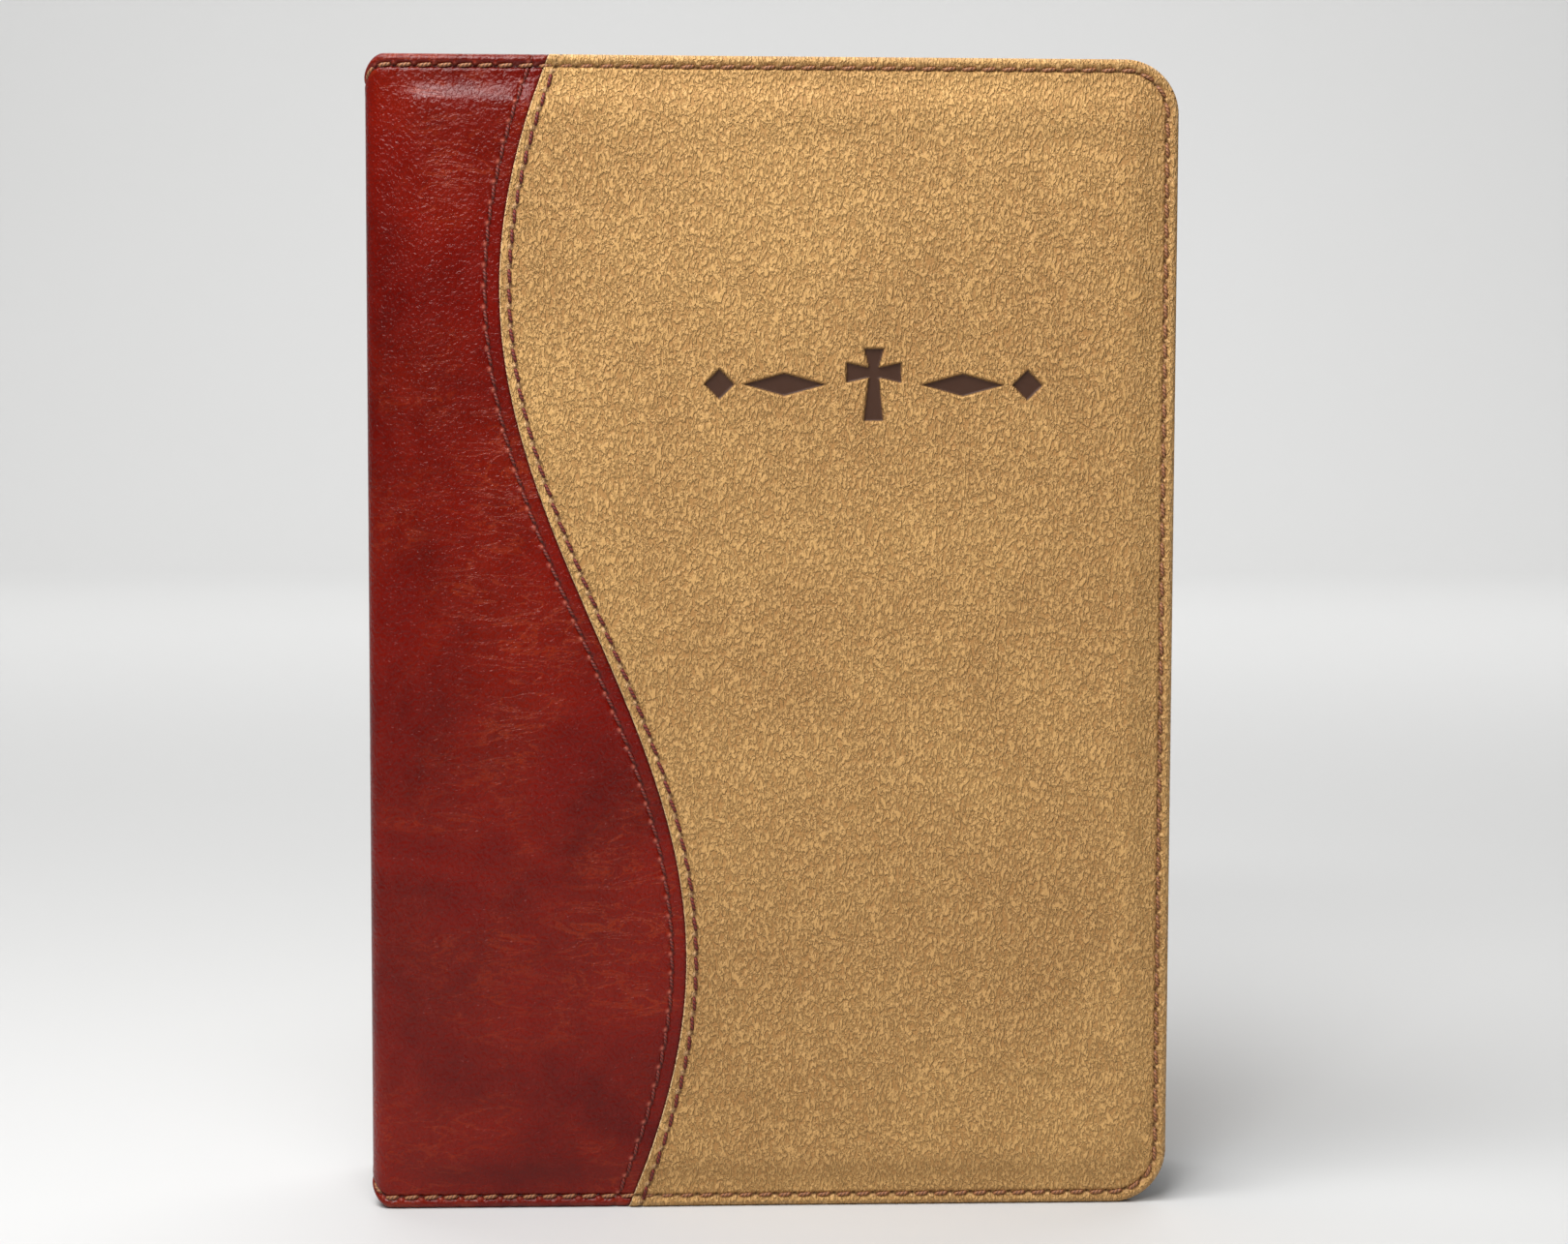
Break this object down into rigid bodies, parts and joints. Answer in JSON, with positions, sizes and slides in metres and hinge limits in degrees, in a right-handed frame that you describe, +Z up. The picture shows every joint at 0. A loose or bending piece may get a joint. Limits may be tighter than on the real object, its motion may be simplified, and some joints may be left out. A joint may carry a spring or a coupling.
{
  "type": "zip-around bible",
  "caption": "Book in a padded two-tone leather cover with an S-shaped seam, edge stitching and a zip round three sides; covers open, leaves fan and the zip slider runs.",
  "frame": {"origin": "middle of the closed book's footprint, on the surface that its tail edge stands on", "axes": "+Z up to the head, +X from the spine to the fore-edge, -Y out of the front cover"},
  "size_m": [0.14, 0.034, 0.2],
  "materials": {
    "red_leather": "glossy mottled imitation leather",
    "tan_leather": "matte grained imitation leather",
    "foam": "soft foam sheet",
    "board": "grey board",
    "lining": "smooth lining",
    "endpaper": "heavy paper",
    "page": "thin bible paper with gilt edges",
    "cloth": "open-weave cloth",
    "band": "woven band",
    "tan_thread": "golden tan thread",
    "red_thread": "dark red thread",
    "zip_tape": "woven tape",
    "zip_coil": "nylon coil",
    "zip_metal": "antique finish",
    "ribbon": "satin ribbon"
  },
  "bodies": {
    "spine": {"spine_leather": "red_leather", "spine_board": "board", "spine_lining": "lining", "spine_stitching": "tan_thread", "backing_cloth": "cloth", "page_block_back": "page", "headband": "band", "tailband": "band"},
    "front_cover": {"front_leather_red": "red_leather", "front_leather_tan": "tan_leather", "front_foam": "foam", "front_board": "board", "front_lining": "lining", "front_pastedown": "endpaper", "front_zip_tape": "zip_tape", "front_zip_coil": "zip_coil", "front_zip_stops": "zip_metal", "front_edge_stitching": "tan_thread", "front_seam_stitching_tan": "red_thread", "front_seam_stitching_red": "red_thread"},
    "back_cover": {"back_leather_red": "red_leather", "back_leather_tan": "tan_leather", "back_foam": "foam", "back_board": "board", "back_lining": "lining", "back_pastedown": "endpaper", "back_zip_tape": "zip_tape", "back_zip_coil": "zip_coil", "back_zip_stops": "zip_metal", "back_edge_stitching": "tan_thread", "back_seam_stitching_tan": "red_thread", "back_seam_stitching_red": "red_thread"},
    "front_leaf": {"front_flyleaf": "endpaper"},
    "front_section_1": {"front_pages_1": "page"},
    "front_section_2": {"front_pages_2": "page"},
    "front_section_3": {"front_pages_3": "page"},
    "back_leaf": {"back_flyleaf": "endpaper"},
    "back_section_1": {"back_pages_1": "page"},
    "back_section_2": {"back_pages_2": "page"},
    "back_section_3": {"back_pages_3": "page", "ribbon_marker": "ribbon"},
    "slider": {"slider_body": "zip_metal"},
    "pull": {"pull_tab": "zip_metal"}
  },
  "joints": [
    {"name": "front_cover_hinge", "type": "hinge", "parent": "spine", "child": "front_cover", "pos_m": [-0.0655, -0.017, 0], "axis": [0, 0, -1], "range_deg": [0, 170]},
    {"name": "front_leaf_turn", "type": "hinge", "parent": "spine", "child": "front_leaf", "pos_m": [-0.062, -0.01315, 0], "axis": [0, 0, -1], "range_deg": [0, 119]},
    {"name": "front_section_1_turn", "type": "hinge", "parent": "spine", "child": "front_section_1", "pos_m": [-0.062, -0.0125, 0], "axis": [0, 0, -1], "range_deg": [0, 102]},
    {"name": "front_section_2_turn", "type": "hinge", "parent": "spine", "child": "front_section_2", "pos_m": [-0.062, -0.00842, 0], "axis": [0, 0, -1], "range_deg": [0, 68]},
    {"name": "front_section_3_turn", "type": "hinge", "parent": "spine", "child": "front_section_3", "pos_m": [-0.062, -0.00433, 0], "axis": [0, 0, -1], "range_deg": [0, 34]},
    {"name": "back_cover_hinge", "type": "hinge", "parent": "spine", "child": "back_cover", "pos_m": [-0.0655, 0.017, 0], "axis": [0, 0, 1], "range_deg": [0, 170]},
    {"name": "back_leaf_turn", "type": "hinge", "parent": "spine", "child": "back_leaf", "pos_m": [-0.062, 0.01315, 0], "axis": [0, 0, 1], "range_deg": [0, 119]},
    {"name": "back_section_1_turn", "type": "hinge", "parent": "spine", "child": "back_section_1", "pos_m": [-0.062, 0.0125, 0], "axis": [0, 0, 1], "range_deg": [0, 102]},
    {"name": "back_section_2_turn", "type": "hinge", "parent": "spine", "child": "back_section_2", "pos_m": [-0.062, 0.00842, 0], "axis": [0, 0, 1], "range_deg": [0, 68]},
    {"name": "back_section_3_turn", "type": "hinge", "parent": "spine", "child": "back_section_3", "pos_m": [-0.062, 0.00433, 0], "axis": [0, 0, 1], "range_deg": [0, 34]},
    {"name": "slider_run", "type": "slide", "parent": "back_cover", "child": "slider", "axis": [1, 0, 0], "range_m": [0, 0.104]},
    {"name": "pull_swing", "type": "hinge", "parent": "slider", "child": "pull", "pos_m": [-0.0509, 0, 0.19835], "axis": [0, -1, 0], "range_deg": [0, 165]}
  ],
  "couplings": [
    {"joint": "front_leaf_turn", "follows": "front_cover_hinge", "ratio": 0.7},
    {"joint": "front_section_1_turn", "follows": "front_cover_hinge", "ratio": 0.6},
    {"joint": "front_section_2_turn", "follows": "front_cover_hinge", "ratio": 0.4},
    {"joint": "front_section_3_turn", "follows": "front_cover_hinge", "ratio": 0.2},
    {"joint": "back_leaf_turn", "follows": "back_cover_hinge", "ratio": 0.7},
    {"joint": "back_section_1_turn", "follows": "back_cover_hinge", "ratio": 0.6},
    {"joint": "back_section_2_turn", "follows": "back_cover_hinge", "ratio": 0.4},
    {"joint": "back_section_3_turn", "follows": "back_cover_hinge", "ratio": 0.2}
  ]
}
